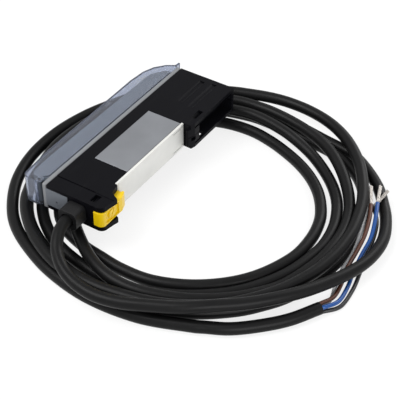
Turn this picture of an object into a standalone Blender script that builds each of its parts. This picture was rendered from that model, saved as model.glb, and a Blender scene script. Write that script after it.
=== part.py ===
"""Slim rail-mounted fibre-optic sensor amplifier, lying on its own loosely coiled cable.

Frame: the origin is on the face that rests on the mounting rail, midway along the rail's width.
+X runs along the housing to the end that takes the optical fibres, +Y from the rail to the
clear cover, and +Z through the thickness. All values are metres.
"""
import math

import bmesh
import bpy
from mathutils import Matrix, Vector

MM = 0.001

# Overall housing
LENGTH = 71.0 * MM
THICKNESS = 9.0 * MM
CABLE_END = -29.0 * MM
SHELL_TOP = 17.3 * MM
WALL = 1.2 * MM
FIT = 0.2 * MM
PARTING = 0.1 * MM
EDGE_ROUND = 0.25 * MM

# Rail seat and hooks
RAIL_WIDTH = 35.0 * MM
RAIL_PLAY = 0.3 * MM
LIP_GAP = 1.4 * MM
SEAT_DEPTH = 0.8 * MM
NOSE_REACH = 1.3 * MM
LATCH_REACH = 0.6 * MM
NOSE_HEIGHT = 0.9 * MM
HOOK_RAMP = 1.6 * MM
LATCH_RAMP = 2.0 * MM
FOOT_DROP = 3.0 * MM
HOOK_BLOCK = 4.1 * MM
SEAT_RELIEF = 0.15 * MM
SEAT_SLIT = 5.8 * MM
SEAT_SLIT_EDGE = 0.8 * MM
SEAT_SLIT_WIDTH = 0.3 * MM

# Latch, its channel and its spring
LATCH_TRAVEL = 2.6 * MM
LATCH_HALF = 2.5 * MM
LATCH_ROOF = 1.2 * MM
LATCH_MOUTH = 0.3 * MM
GRIP_DEPTH = 0.45 * MM
GRIP_RADIUS = 1.6 * MM
LUG_WIDTH = 1.0 * MM
LUG_HALF = 1.1 * MM
SPRING_SPACE = LATCH_TRAVEL + 2.7 * MM
SPRING_RADIUS = 0.75 * MM
SPRING_WIRE = 0.17 * MM
SPRING_TURNS = 6

# Top body, cover and its hinge
RIM_HEIGHT = 1.4 * MM
BODY_RISE = 6.3 * MM
BODY_WALL = 0.8 * MM
BODY_ROOF = 1.3 * MM
COVER_WALL = 0.4 * MM
COVER_RISE = 2.1 * MM
COVER_GAP = 0.3 * MM
COVER_SLOPE = 8.4 * MM
COVER_CROWN = 14.6 * MM
COVER_REAR_CROWN = 12.6 * MM
TAB_LENGTH = 2.2 * MM
HINGE_INSET = 1.4 * MM
HINGE_RISE = 2.1 * MM
HINGE_PIN = 0.5 * MM
HINGE_PLAY = 0.08 * MM
HINGE_BOSS = 1.35 * MM
BODY_LUG = 1.1 * MM

# Label
LABEL_START = -11.1 * MM
LABEL_END = 17.0 * MM
LABEL_TOP = 12.95 * MM
LABEL_DEPTH = 0.2 * MM

# Electronics
BAY_FLOOR = 2.4 * MM
BOARD_THICK = 1.0 * MM
BOARD_INSET = 8.0 * MM
DISPLAY_START = 23.0 * MM
DISPLAY_STOP = 30.0 * MM
DISPLAY_HALF = 2.6 * MM
DIGITS = 8
LAMP_PLACE = 10.0 * MM
MODE_PLACE = 14.4 * MM
SEATED = 0.3 * MM

# Fibre side
FIBRE_BORE = 1.15 * MM
FIBRE_PITCH = 4.2 * MM
LOWER_FIBRE_Y = 4.2 * MM
BUSH_OUTER = 1.7 * MM
GROOVE_WIDTH = 2.1 * MM
GROOVE_DEPTH = 0.35 * MM
GROOVE_SHIFT = 0.95 * MM
BLOCK_LENGTH = 22.8 * MM
BLOCK_COVER = 2.2 * MM

# Keys and slides
KEY_RADIUS = 1.5 * MM
KEY_TRAVEL = 0.4 * MM
KEY_PLACES = {"set": 25.5 * MM, "up": 20.8 * MM, "down": 16.6 * MM}
KEY_RISE = 0.6 * MM
KEY_STEM = 1.5 * MM
MODE_TRAVEL = 2.2 * MM
LOCK_TRAVEL = 2.4 * MM

# Cable
CABLE = 3.7 * MM
CORE = 1.25 * MM
CORE_TIP = 0.95 * MM
BOOT_LENGTH = 5.0 * MM
BOOT_HALF = 3.1 * MM
BOOT_BOTTOM = 2.8 * MM
BOOT_HEIGHT = 6.4 * MM
MOUTH_DEPTH = 1.2 * MM
COIL_CENTRE = (6.0 * MM, -11.0 * MM)
COIL_INNER = 34.0 * MM
COIL_OUTER = 52.0 * MM
COIL_LAYERS = 2
LEAD_POINTS = [
    (-35.0, 6.0, 0.0), (-38.0, 5.5, -0.35), (-41.2, 4.1, -1.25), (-44.0, 2.1, -2.4), (-46.7, -1.2, -3.3),
    (-48.6, -4.9, -4.1), (-49.9, -10.0, -4.7), (-50.2, -16.2, -4.9), (-48.6, -23.2, -4.9), (-45.4, -30.7, -4.6),
    (-41.8, -38.2, -4.2), (-37.0, -45.0, -4.0), (-30.0, -53.2, -4.2), (-20.4, -60.6, -5.1),
    (-11.4, -65.2, -6.4), (-1.2, -69.0, -7.7), (7.8, -70.7, -8.6), (17.4, -70.1, -9.3),
    (26.5, -66.6, -9.9), (33.4, -62.2, -10.2), (39.5, -57.4, -10.3), (44.8, -51.2, -10.3),
    (49.2, -44.4, -10.3),
]
TAIL_POINTS = [
    (-41.4, -40.6, -10.3), (-39.5, -44.6, -10.3), (-36.2, -50.8, -10.3), (-30.8, -57.0, -10.3),
    (-24.3, -62.7, -10.3), (-16.0, -67.5, -10.3),
]
CORE_POINTS = {
    "brown": [(-14.8, -67.2, -9.5), (-10.4, -68.7, -10.1), (-4.5, -68.0, -10.4), (2.0, -66.6, -9.7),
              (8.5, -66.0, -9.0), (15.0, -65.2, -8.0), (21.5, -63.4, -7.0), (26.8, -61.2, -6.5)],
    "white": [(-14.8, -67.2, -11.2), (-10.2, -67.9, -11.5), (-4.6, -66.4, -11.5), (1.6, -65.1, -11.3),
              (8.2, -64.6, -10.6), (14.4, -63.7, -9.3), (20.4, -62.0, -8.3), (25.5, -60.3, -7.4)],
    "blue": [(-15.7, -68.7, -9.5), (-11.0, -70.6, -10.2), (-4.3, -69.9, -10.8), (2.6, -68.3, -10.9),
             (9.0, -67.5, -9.9), (15.8, -66.9, -8.7), (22.4, -64.9, -6.9), (28.4, -62.5, -6.4)],
    "black": [(-15.7, -68.7, -11.2), (-11.3, -71.5, -11.5), (-4.2, -71.4, -11.5), (3.0, -70.0, -11.5),
              (9.6, -68.2, -11.4), (16.4, -67.3, -10.4), (22.8, -65.3, -8.6), (27.8, -61.6, -8.0)],
}
TIP_ENDS = {
    "brown": (34.4, -57.3, -6.4),
    "white": (33.4, -56.8, -7.6),
    "blue": (36.2, -59.6, -6.6),
    "black": (35.9, -62.4, -7.0),
}

# Places worked out from the sizes above
HALF = THICKNESS / 2
FIBRE_END = CABLE_END + LENGTH
INNER_HALF = HALF - WALL
HOOK_WALL = (RAIL_WIDTH + RAIL_PLAY) / 2
HOOK_TIP = HOOK_WALL - NOSE_REACH
SOLE = -FOOT_DROP - FIT / 2
RIM_BOTTOM = SHELL_TOP + FIT
RIM_TOP = RIM_BOTTOM + RIM_HEIGHT
POCKET_START = HOOK_WALL + HOOK_BLOCK
BAY_START = CABLE_END + WALL
BAY_END = FIBRE_END - WALL
SEAT_START = -HOOK_WALL + FIT
SEAT_END = HOOK_WALL - FIT
SHELL_SEAT = SEAT_DEPTH + FIT
SPRING_LUG = -HOOK_WALL - LUG_WIDTH - SPRING_SPACE - 1.4 * MM
UPPER_FIBRE_Y = LOWER_FIBRE_Y + FIBRE_PITCH
BLOCK_START = FIBRE_END - BLOCK_LENGTH
BLOCK_TOP = UPPER_FIBRE_Y + BLOCK_COVER
BODY_TOP = RIM_TOP + BODY_RISE
BODY_CEILING = BODY_TOP - BODY_ROOF
BODY_HALF = HALF - COVER_WALL - COVER_GAP
COVER_TOP = BODY_TOP + COVER_RISE
HINGE_X = CABLE_END + HINGE_INSET
HINGE_Y = RIM_TOP + HINGE_RISE
BOARD_TOP = SHELL_TOP + SEATED
KEY_HEAD = BODY_TOP + KEY_RISE
KEY_FLANGE = BODY_CEILING - KEY_STEM
FLOOR = -HALF - SEATED - COIL_LAYERS * CABLE

for old in list(bpy.data.objects):
    bpy.data.objects.remove(old, do_unlink=True)


def new_collection(name):
    group = bpy.data.collections.new(name)
    bpy.context.scene.collection.children.link(group)
    return group


PARTS = new_collection("fibre_optic_sensor")
CUTTERS = new_collection("cutters")


def make_material(name, colour, roughness, metallic=0.0, alpha=1.0):
    material = bpy.data.materials.new(name)
    material.use_nodes = True
    shader = material.node_tree.nodes["Principled BSDF"]
    shader.inputs["Base Color"].default_value = (*colour, 1.0)
    shader.inputs["Roughness"].default_value = roughness
    shader.inputs["Metallic"].default_value = metallic
    shader.inputs["Alpha"].default_value = alpha
    return material


BLACK_PLASTIC = make_material("black_plastic", (0.012, 0.012, 0.014), 0.45)
GREY_PLASTIC = make_material("grey_plastic", (0.20, 0.22, 0.25), 0.40)
CLEAR_PLASTIC = make_material("clear_plastic", (0.80, 0.84, 0.95), 0.08, alpha=0.3)
YELLOW_PLASTIC = make_material("yellow_plastic", (0.83, 0.62, 0.01), 0.35)
PALE_METAL = make_material("pale_metal", (0.66, 0.66, 0.62), 0.38, metallic=0.4)
LABEL_FOIL = make_material("label_foil", (0.20, 0.21, 0.23), 0.35, metallic=0.6)
SPRING_STEEL = make_material("spring_steel", (0.55, 0.55, 0.57), 0.25, metallic=1.0)
TINNED_COPPER = make_material("tinned_copper", (0.72, 0.72, 0.72), 0.30, metallic=1.0)
CABLE_JACKET = make_material("cable_jacket", (0.018, 0.018, 0.018), 0.50)
CORE_COLOURS = {
    "brown": make_material("brown_core", (0.07, 0.02, 0.01), 0.45),
    "white": make_material("white_core", (0.55, 0.55, 0.55), 0.45),
    "blue": make_material("blue_core", (0.0, 0.06, 0.30), 0.40),
    "black": make_material("black_core", (0.01, 0.01, 0.01), 0.45),
}
DARK_WINDOW = make_material("dark_window", (0.03, 0.01, 0.012), 0.10)
BOARD_GREEN = make_material("board_green", (0.01, 0.09, 0.04), 0.45)
CHIP_BLACK = make_material("chip_black", (0.015, 0.015, 0.015), 0.55)
KEY_GREY = make_material("key_grey", (0.55, 0.56, 0.58), 0.45)
LAMP_CLEAR = make_material("lamp_clear", (0.75, 0.25, 0.10), 0.15)
METAL_CAN = make_material("metal_can", (0.45, 0.46, 0.48), 0.30, metallic=1.0)


def add_object(name, mesh, material, cutter=False):
    obj = bpy.data.objects.new(name, mesh)
    if cutter:
        CUTTERS.objects.link(obj)
        obj.hide_render = True
        obj.display_type = "WIRE"
    else:
        PARTS.objects.link(obj)
        mesh.materials.append(material)
    return obj


def move_origin(obj, point):
    """Puts the object's origin on its joint's axis, with the mesh where it was."""
    obj.data.transform(Matrix.Translation(-Vector(point)))
    obj.location = point


def box(name, low, high, material=None, cutter=False):
    mesh = bpy.data.meshes.new(name)
    work = bmesh.new()
    bmesh.ops.create_cube(work, size=1.0)
    middle = [(a + b) / 2 for a, b in zip(low, high)]
    span = [b - a for a, b in zip(low, high)]
    bmesh.ops.scale(work, vec=span, verts=work.verts)
    bmesh.ops.translate(work, vec=middle, verts=work.verts)
    work.to_mesh(mesh)
    work.free()
    return add_object(name, mesh, material, cutter)


TURN_TO = {
    "X": Matrix(((0, 0, 1), (1, 0, 0), (0, 1, 0))),
    "Y": Matrix(((1, 0, 0), (0, 0, -1), (0, 1, 0))),
    "Z": Matrix.Identity(3),
}


def cylinder(name, centre, radius, length, axis, material=None, cutter=False, sides=24):
    """A round bar; centre is the middle of its length."""
    mesh = bpy.data.meshes.new(name)
    work = bmesh.new()
    bmesh.ops.create_cone(work, cap_ends=True, segments=sides, radius1=radius, radius2=radius, depth=length)
    work.transform(TURN_TO[axis].to_4x4())
    bmesh.ops.translate(work, vec=centre, verts=work.verts)
    work.to_mesh(mesh)
    work.free()
    if not cutter:
        mesh.shade_smooth()
        mesh.set_sharp_from_angle(angle=math.radians(40))
    return add_object(name, mesh, material, cutter)


def arc(centre, radius, start, end, steps=6):
    """Points on an arc from start to end, in degrees."""
    points = []
    for step in range(steps + 1):
        angle = math.radians(start + (end - start) * step / steps)
        points.append((centre[0] + radius * math.cos(angle), centre[1] + radius * math.sin(angle)))
    return points


def flat_mesh(name, points, low, high, axis="Z"):
    """A flat outline, extruded from low to high along the axis, as a welded mesh."""
    curve = bpy.data.curves.new(name, "CURVE")
    curve.dimensions = "2D"
    curve.fill_mode = "BOTH"
    curve.extrude = (high - low) / 2 / MM
    spline = curve.splines.new("POLY")
    spline.points.add(len(points) - 1)
    for point, (across, along) in zip(spline.points, points):
        point.co = (across / MM, along / MM, 0.0, 1.0)
    spline.use_cyclic_u = True
    guide = bpy.data.objects.new(name, curve)
    CUTTERS.objects.link(guide)
    along_axis = -1 if axis == "Y" else 1
    turn = TURN_TO[axis].to_4x4()
    middle = turn.col[2].xyz * along_axis * (low + high) / 2
    guide.matrix_world = Matrix.Translation(middle) @ turn @ Matrix.Scale(MM, 4)
    bpy.context.view_layer.update()
    mesh = bpy.data.meshes.new_from_object(guide.evaluated_get(bpy.context.evaluated_depsgraph_get()))
    mesh.transform(guide.matrix_world)
    bpy.data.objects.remove(guide)
    work = bmesh.new()
    work.from_mesh(mesh)
    bmesh.ops.remove_doubles(work, verts=work.verts, dist=0.000005)
    bmesh.ops.recalc_face_normals(work, faces=work.faces)
    work.to_mesh(mesh)
    work.free()
    return mesh


def flat_solid(name, points, low, high, material=None, axis="Z", cutter=False):
    return add_object(name, flat_mesh(name, points, low, high, axis), material, cutter)


def boolean(target, tool, operation):
    step = target.modifiers.new(f"{operation.lower()} {tool.name}", "BOOLEAN")
    step.operation = operation
    step.object = tool


def cut(target, *tools):
    for tool in tools:
        boolean(target, tool, "DIFFERENCE")


def join(target, *tools):
    for tool in tools:
        boolean(target, tool, "UNION")


def round_edges(obj, width, segments=2, angle=40):
    bevel = obj.modifiers.new("rounded edges", "BEVEL")
    bevel.width = width
    bevel.segments = segments
    bevel.limit_method = "ANGLE"
    bevel.angle_limit = math.radians(angle)


def turned(name, profile, centre, axis, material, steps=24):
    """Turns a closed profile of (radius, height) round the axis through the centre."""
    mesh = bpy.data.meshes.new(name)
    count = len(profile)
    points = [(radius, 0.0, height) for radius, height in profile]
    mesh.from_pydata(points, [(i, (i + 1) % count) for i in range(count)], [])
    obj = add_object(name, mesh, material)
    obj.matrix_world = Matrix.Translation(centre) @ TURN_TO[axis].to_4x4()
    screw = obj.modifiers.new("turned", "SCREW")
    screw.steps = steps
    screw.render_steps = steps
    screw.use_merge_vertices = True
    screw.merge_threshold = 0.00001
    screw.use_normal_calculate = False
    return obj


def smooth_route(points, spacing):
    """Evenly spaced points on a smooth curve through the route's own points."""
    knots = [Vector(p) for p in points]
    knots = [knots[0] * 2 - knots[1]] + knots + [knots[-1] * 2 - knots[-2]]
    fine = []
    for a, b, c, d in zip(knots, knots[1:], knots[2:], knots[3:]):
        for step in range(24):
            t = step / 24
            fine.append(0.5 * (2 * b + (c - a) * t + (2 * a - 5 * b + 4 * c - d) * t ** 2
                               + (3 * b - a - 3 * c + d) * t ** 3))
    fine.append(knots[-2])
    travelled = [0.0]
    for a, b in zip(fine, fine[1:]):
        travelled.append(travelled[-1] + (b - a).length)
    count = max(2, round(travelled[-1] / spacing))
    route = []
    index = 0
    for step in range(count + 1):
        want = travelled[-1] * step / count
        while index < len(fine) - 2 and travelled[index + 1] < want:
            index += 1
        share = (want - travelled[index]) / (travelled[index + 1] - travelled[index])
        route.append(fine[index].lerp(fine[index + 1], min(max(share, 0.0), 1.0)))
    return route


def tube(name, route, diameter, material, resolution=2):
    curve = bpy.data.curves.new(name, "CURVE")
    curve.dimensions = "3D"
    curve.bevel_depth = diameter / 2
    curve.bevel_resolution = resolution
    curve.use_fill_caps = True
    spline = curve.splines.new("POLY")
    spline.points.add(len(route) - 1)
    for point, place in zip(spline.points, route):
        point.co = (*place, 1.0)
    curve.materials.append(material)
    obj = bpy.data.objects.new(name, curve)
    PARTS.objects.link(obj)
    return obj


def in_metres(points):
    return [tuple(value * MM for value in point) for point in points]


def shell_outline():
    """The side plate's outline, from the cable end's top corner round by the rail side."""
    foot_end = -HOOK_WALL - 5.1 * MM
    corner = 2.0 * MM
    points = [(CABLE_END, SHELL_TOP)]
    points += arc((CABLE_END + corner, -FOOT_DROP + corner), corner, 180, 270)
    points += [(foot_end, -FOOT_DROP - 0.8 * MM), (foot_end + 1.6 * MM, -0.9 * MM)]
    points += [(SEAT_START - FIT, -0.2 * MM), (SEAT_START - FIT, SHELL_SEAT), (HOOK_WALL, SHELL_SEAT)]
    points += nose_outline(HOOK_WALL, -1, NOSE_REACH)
    points += [(HOOK_WALL + HOOK_RAMP, -FOOT_DROP), (FIBRE_END, -FOOT_DROP), (FIBRE_END, SHELL_TOP)]
    return points


def nose_outline(wall, side, reach):
    """A hook's nose, which stands out from its wall below the rail's lip; a ramp leads from it to the sole."""
    tip = NOSE_HEIGHT / 2
    centre = (wall + side * (reach - tip), -LIP_GAP - tip)
    return [(wall, -LIP_GAP)] + arc(centre, tip, 90, 90 - side * 150)


def shared_cutters():
    """Hollows that both shells have, each running right through the parting plane."""
    far = 1.0 * MM
    bottom = -FOOT_DROP - far
    bay = box("bay_cutter", (BAY_START, BAY_FLOOR, -INNER_HALF), (BAY_END, SHELL_TOP + far, INNER_HALF), cutter=True)
    leg_low = BOOT_BOTTOM + BOOT_HEIGHT + SEATED
    leg = box("leg_cutter", (CABLE_END - far, leg_low, -INNER_HALF),
              (BAY_START + far, SHELL_TOP + far, INNER_HALF), cutter=True)
    neck = box("neck_cutter", (CABLE_END - far, BOOT_BOTTOM + 0.8 * MM, -2.6 * MM),
               (BAY_START + far, leg_low - 1.0 * MM, 2.6 * MM), cutter=True)
    pocket = box("pocket_cutter", (POCKET_START, bottom, -INNER_HALF),
                 (BAY_END, BAY_FLOOR - WALL, INNER_HALF), cutter=True)
    channel_half = LATCH_HALF + FIT
    channel_end = -HOOK_WALL
    lug_end = SPRING_LUG + LUG_WIDTH
    low_channel = box("low_channel_cutter", (CABLE_END - far, bottom, -channel_half),
                      (channel_end, -LATCH_ROOF, channel_half), cutter=True)
    mouth = box("latch_mouth_cutter", (CABLE_END - far, -LATCH_ROOF - far, -channel_half),
                (BAY_START, LATCH_MOUTH, channel_half), cutter=True)
    outer_channel = box("outer_channel_cutter", (BAY_START, -LATCH_ROOF - far, -channel_half),
                        (SPRING_LUG, LATCH_ROOF, channel_half), cutter=True)
    inner_channel = box("inner_channel_cutter", (lug_end, -LATCH_ROOF - far, -channel_half),
                        (channel_end, LATCH_ROOF, channel_half), cutter=True)
    front_gap = box("front_gap_cutter", (SPRING_LUG - far, -LATCH_ROOF - far, LUG_HALF),
                    (lug_end + far, LATCH_ROOF, channel_half), cutter=True)
    back_gap = box("back_gap_cutter", (SPRING_LUG - far, -LATCH_ROOF - far, -channel_half),
                   (lug_end + far, LATCH_ROOF, -LUG_HALF), cutter=True)
    ports = [cylinder(f"{name}_port_cutter", (FIBRE_END - WALL, y, 0.0), BUSH_OUTER + FIT / 2, 4 * WALL, "X",
                      cutter=True)
             for name, y in (("upper", UPPER_FIBRE_Y), ("lower", LOWER_FIBRE_Y))]
    return [bay, leg, neck, pocket, low_channel, mouth, outer_channel, inner_channel, front_gap, back_gap, *ports]


def side_cutters(side):
    """Cuts in one side's outer face; side is +1 for the face that shows and -1 for the hidden one."""
    name = "front" if side > 0 else "back"

    def slab(label, x0, x1, y0, y1, inner, outer):
        levels = sorted((side * inner, side * outer))
        return box(f"{name}_{label}_cutter", (x0, y0, levels[0]), (x1, y1, levels[1]), cutter=True)

    def groove(label, x0, x1, y):
        """A shallow scoop with a round floor, along X."""
        radius = (GROOVE_WIDTH ** 2 / 4 + GROOVE_DEPTH ** 2) / (2 * GROOVE_DEPTH)
        centre = ((x0 + x1) / 2, y - GROOVE_SHIFT, side * (HALF + radius - GROOVE_DEPTH))
        return cylinder(f"{name}_{label}_groove", centre, radius, x1 - x0, "X", cutter=True, sides=36)

    over = HALF + 1.0 * MM
    low = -FOOT_DROP - 1.0 * MM
    band = slab("end_band", CABLE_END - WALL, CABLE_END + 5.2 * MM, low, SHELL_TOP + WALL, HALF - 0.12 * MM, over)
    line = slab("end_line", CABLE_END + 5.0 * MM, CABLE_END + 5.35 * MM, 3.2 * MM, SHELL_TOP + WALL,
                HALF - 0.35 * MM, over)
    window = slab("latch_window", CABLE_END + 1.6 * MM, CABLE_END + 4.7 * MM, 0.5 * MM, 2.6 * MM,
                  HALF - WALL, over)
    nose_side = slab("nose_side", HOOK_TIP - WALL, HOOK_WALL, low, SHELL_SEAT - FIT / 2, INNER_HALF - FIT, over)
    slot = slab("hook_slot", HOOK_WALL + 3.8 * MM, HOOK_WALL + 8.2 * MM, -1.8 * MM, -0.1 * MM, INNER_HALF - WALL,
                over)
    split = slab("hook_split", HOOK_WALL + HOOK_RAMP, POCKET_START + 0.5 * MM, low, -0.3 * MM,
                 INNER_HALF - 0.7 * MM, INNER_HALF)
    upper = groove("upper", FIBRE_END - 15.6 * MM, FIBRE_END - 2.5 * MM, UPPER_FIBRE_Y)
    lower = groove("lower", FIBRE_END - 16.2 * MM, FIBRE_END - 1.9 * MM, LOWER_FIBRE_Y)
    return [band, line, window, nose_side, slot, split, upper, lower]


def build_shells(label_low, label_high):
    hollows = shared_cutters()
    notch = box("hook_notch_cutter", (HOOK_WALL + 0.1 * MM, -FOOT_DROP - WALL, -1.7 * MM),
                (HOOK_WALL + 2.0 * MM, -FOOT_DROP + 1.1 * MM, -0.4 * MM), cutter=True)
    for name, side in (("housing_front", 1), ("housing_back", -1)):
        levels = sorted((side * PARTING, side * HALF))
        shell = flat_solid(name, shell_outline(), levels[0], levels[1], BLACK_PLASTIC)
        round_edges(shell, EDGE_ROUND, segments=1, angle=80)
        cut(shell, *hollows, *side_cutters(side))
        if side > 0:
            recess = box("label_recess_cutter", (label_low[0] - FIT / 2, -WALL, label_low[2] - 0.05 * MM),
                         (label_high[0] + FIT / 2, label_high[1] + FIT / 2, HALF + WALL), cutter=True)
            cut(shell, recess)
        else:
            cut(shell, notch)


def build_label(low, high):
    label = box("side_label", low, high, LABEL_FOIL)
    round_edges(label, 0.05 * MM, segments=1)


def build_rail_seat():
    """A bright plate: its middle is the flat face on the rail, and its ends lie a little deeper."""
    face_start = -HOOK_WALL + LATCH_REACH + SEATED
    face_end = HOOK_TIP - SEATED
    seat = box("rail_seat", (SEAT_START, 0.0, -HALF), (SEAT_END, SEAT_DEPTH, HALF), PALE_METAL)
    cut(seat, box("left_relief_cutter", (SEAT_START - WALL, -WALL, -THICKNESS), (face_start, SEAT_RELIEF, THICKNESS),
                  cutter=True))
    cut(seat, box("right_relief_cutter", (face_end, -WALL, -THICKNESS), (SEAT_END + WALL, SEAT_RELIEF, THICKNESS),
                  cutter=True))
    slit_outer = HALF - SEAT_SLIT_EDGE
    for side, name in ((1, "front"), (-1, "back")):
        levels = sorted((side * slit_outer, side * (slit_outer - SEAT_SLIT_WIDTH)))
        cut(seat, box(f"{name}_seat_slit_cutter", (SEAT_END - SEAT_SLIT, -WALL, levels[0]),
                      (SEAT_END + WALL, SEAT_DEPTH + WALL, levels[1]), cutter=True))


def build_latch():
    """The sliding latch: a block with a nose below the rail's lip and a well for its spring."""
    outer = CABLE_END - 0.3 * MM
    shoulder = BAY_START + LATCH_TRAVEL + FIT
    nose = list(reversed(nose_outline(-HOOK_WALL, 1, LATCH_REACH)))
    points = [(outer, LATCH_MOUTH - FIT)]
    points += arc((outer + 1.6 * MM, SOLE + 1.6 * MM), 1.6 * MM, 180, 270)
    points += [(-HOOK_WALL - LATCH_RAMP, SOLE)] + nose + [(-HOOK_WALL, LATCH_ROOF - FIT)]
    points += [(shoulder, LATCH_ROOF - FIT), (shoulder, LATCH_MOUTH - FIT)]
    latch = flat_solid("rail_latch", points, -LATCH_HALF, LATCH_HALF, YELLOW_PLASTIC)
    round_edges(latch, 0.12 * MM, segments=1, angle=60)
    well = box("spring_well_cutter", (SPRING_LUG - FIT, -LATCH_ROOF, -LUG_HALF - FIT),
               (SPRING_LUG + LUG_WIDTH + SPRING_SPACE, 3 * LATCH_ROOF, LUG_HALF + FIT), cutter=True)
    boss_x = -HOOK_WALL - 6.7 * MM
    panel = box("grip_panel", (boss_x - 3.0 * MM, SOLE - WALL, -LATCH_HALF + 0.5 * MM),
                (boss_x + 3.1 * MM, SOLE + GRIP_DEPTH, LATCH_HALF - 0.5 * MM), cutter=True)
    boss = cylinder("grip_boss", (boss_x, SOLE + GRIP_DEPTH, 0.0), GRIP_RADIUS, 2 * GRIP_DEPTH, "Y", cutter=True)
    slot_end = GRIP_RADIUS + 0.1 * MM
    slot = box("grip_slot", (-0.22 * MM, -WALL, -slot_end), (0.22 * MM, -0.1 * MM, slot_end), cutter=True)
    slot.matrix_world = (Matrix.Translation((boss_x, SOLE + GRIP_DEPTH, 0.0))
                         @ Matrix.Rotation(math.radians(28), 4, "Y"))
    cut(latch, well, panel)
    join(latch, boss)
    cut(latch, slot)
    move_origin(latch, (-HOOK_WALL, 0.0, 0.0))


def build_spring():
    start = SPRING_LUG + LUG_WIDTH + SPRING_WIRE + 0.1 * MM
    end = SPRING_LUG + LUG_WIDTH + SPRING_SPACE - SPRING_WIRE - 0.1 * MM
    steps = SPRING_TURNS * 12
    route = []
    for step in range(steps + 1):
        angle = 2 * math.pi * SPRING_TURNS * step / steps
        x = start + (end - start) * step / steps
        route.append((x, SPRING_RADIUS * math.cos(angle), SPRING_RADIUS * math.sin(angle)))
    tube("latch_spring", route, 2 * SPRING_WIRE, SPRING_STEEL, resolution=1)


def body_outline():
    """The inner body under the cover; its cable end stands back, to let the cover's end wall swing under the lug."""
    rear = HINGE_X + 0.7 * MM
    front = [(FIBRE_END - 1.6 * MM, RIM_BOTTOM + 0.4 * MM), (FIBRE_END - 3.4 * MM, BODY_TOP - 3.9 * MM),
             (FIBRE_END - 6.4 * MM, BODY_TOP - 1.4 * MM), (FIBRE_END - 9.0 * MM, BODY_TOP - 0.6 * MM)]
    top = [(CABLE_END + 21.0 * MM, BODY_TOP), (CABLE_END + 11.0 * MM, BODY_TOP),
           (CABLE_END + 3.6 * MM, BODY_TOP - 0.3 * MM), (CABLE_END + 2.4 * MM, BODY_TOP - 1.3 * MM)]
    return [(rear, RIM_BOTTOM + 0.4 * MM)] + front + top + [(rear, HINGE_Y + BODY_LUG / 2)]


def build_top_bezel():
    bezel = flat_solid("top_bezel", body_outline(), -BODY_HALF, BODY_HALF, GREY_PLASTIC)
    round_edges(bezel, 0.3 * MM, segments=2, angle=60)
    rim = box("bezel_rim", (CABLE_END, RIM_BOTTOM, -HALF), (FIBRE_END, RIM_TOP, HALF), cutter=True)
    round_edges(rim, 0.2 * MM, segments=1)
    leg_half = INNER_HALF - FIT
    leg_low = BOOT_BOTTOM + BOOT_HEIGHT + SEATED + FIT
    leg = box("bezel_leg", (CABLE_END, leg_low, -leg_half), (BAY_START - 0.1 * MM, RIM_TOP - 0.5 * MM, leg_half),
              cutter=True)
    hollow = box("bezel_hollow", (HINGE_X + BODY_LUG, SHELL_TOP - 1.0 * MM, -BODY_HALF + BODY_WALL),
                 (FIBRE_END - 4.2 * MM, BODY_CEILING - 2.9 * MM, BODY_HALF - BODY_WALL), cutter=True)
    attic = box("bezel_attic", (HINGE_X + BODY_LUG + 1.2 * MM, BODY_CEILING - 3.9 * MM, -BODY_HALF + BODY_WALL),
                (FIBRE_END - 7.4 * MM, BODY_CEILING, BODY_HALF - BODY_WALL), cutter=True)
    lug = cylinder("bezel_lug", (HINGE_X, HINGE_Y, 0.0), BODY_LUG, 2 * BODY_HALF - FIT, "Z", cutter=True)
    join(bezel, rim, leg, lug)
    cut(bezel, hollow, attic)
    cut(bezel, cylinder("hinge_hole_cutter", (HINGE_X, HINGE_Y, 0.0), HINGE_PIN + HINGE_PLAY, 3 * BODY_HALF, "Z",
                        cutter=True, sides=20))
    cut(bezel, cylinder("vent_cutter", (CABLE_END, 13.8 * MM, -0.8 * MM), 0.35 * MM, 1.0 * MM, "X", cutter=True,
                        sides=10))
    return bezel


def ceiling_hole(bezel, name, low_x, high_x, half):
    cut(bezel, box(f"{name}_opening_cutter", (low_x, BODY_CEILING - 1.0 * MM, -half),
                   (high_x, BODY_TOP + 1.0 * MM, half), cutter=True))


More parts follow.
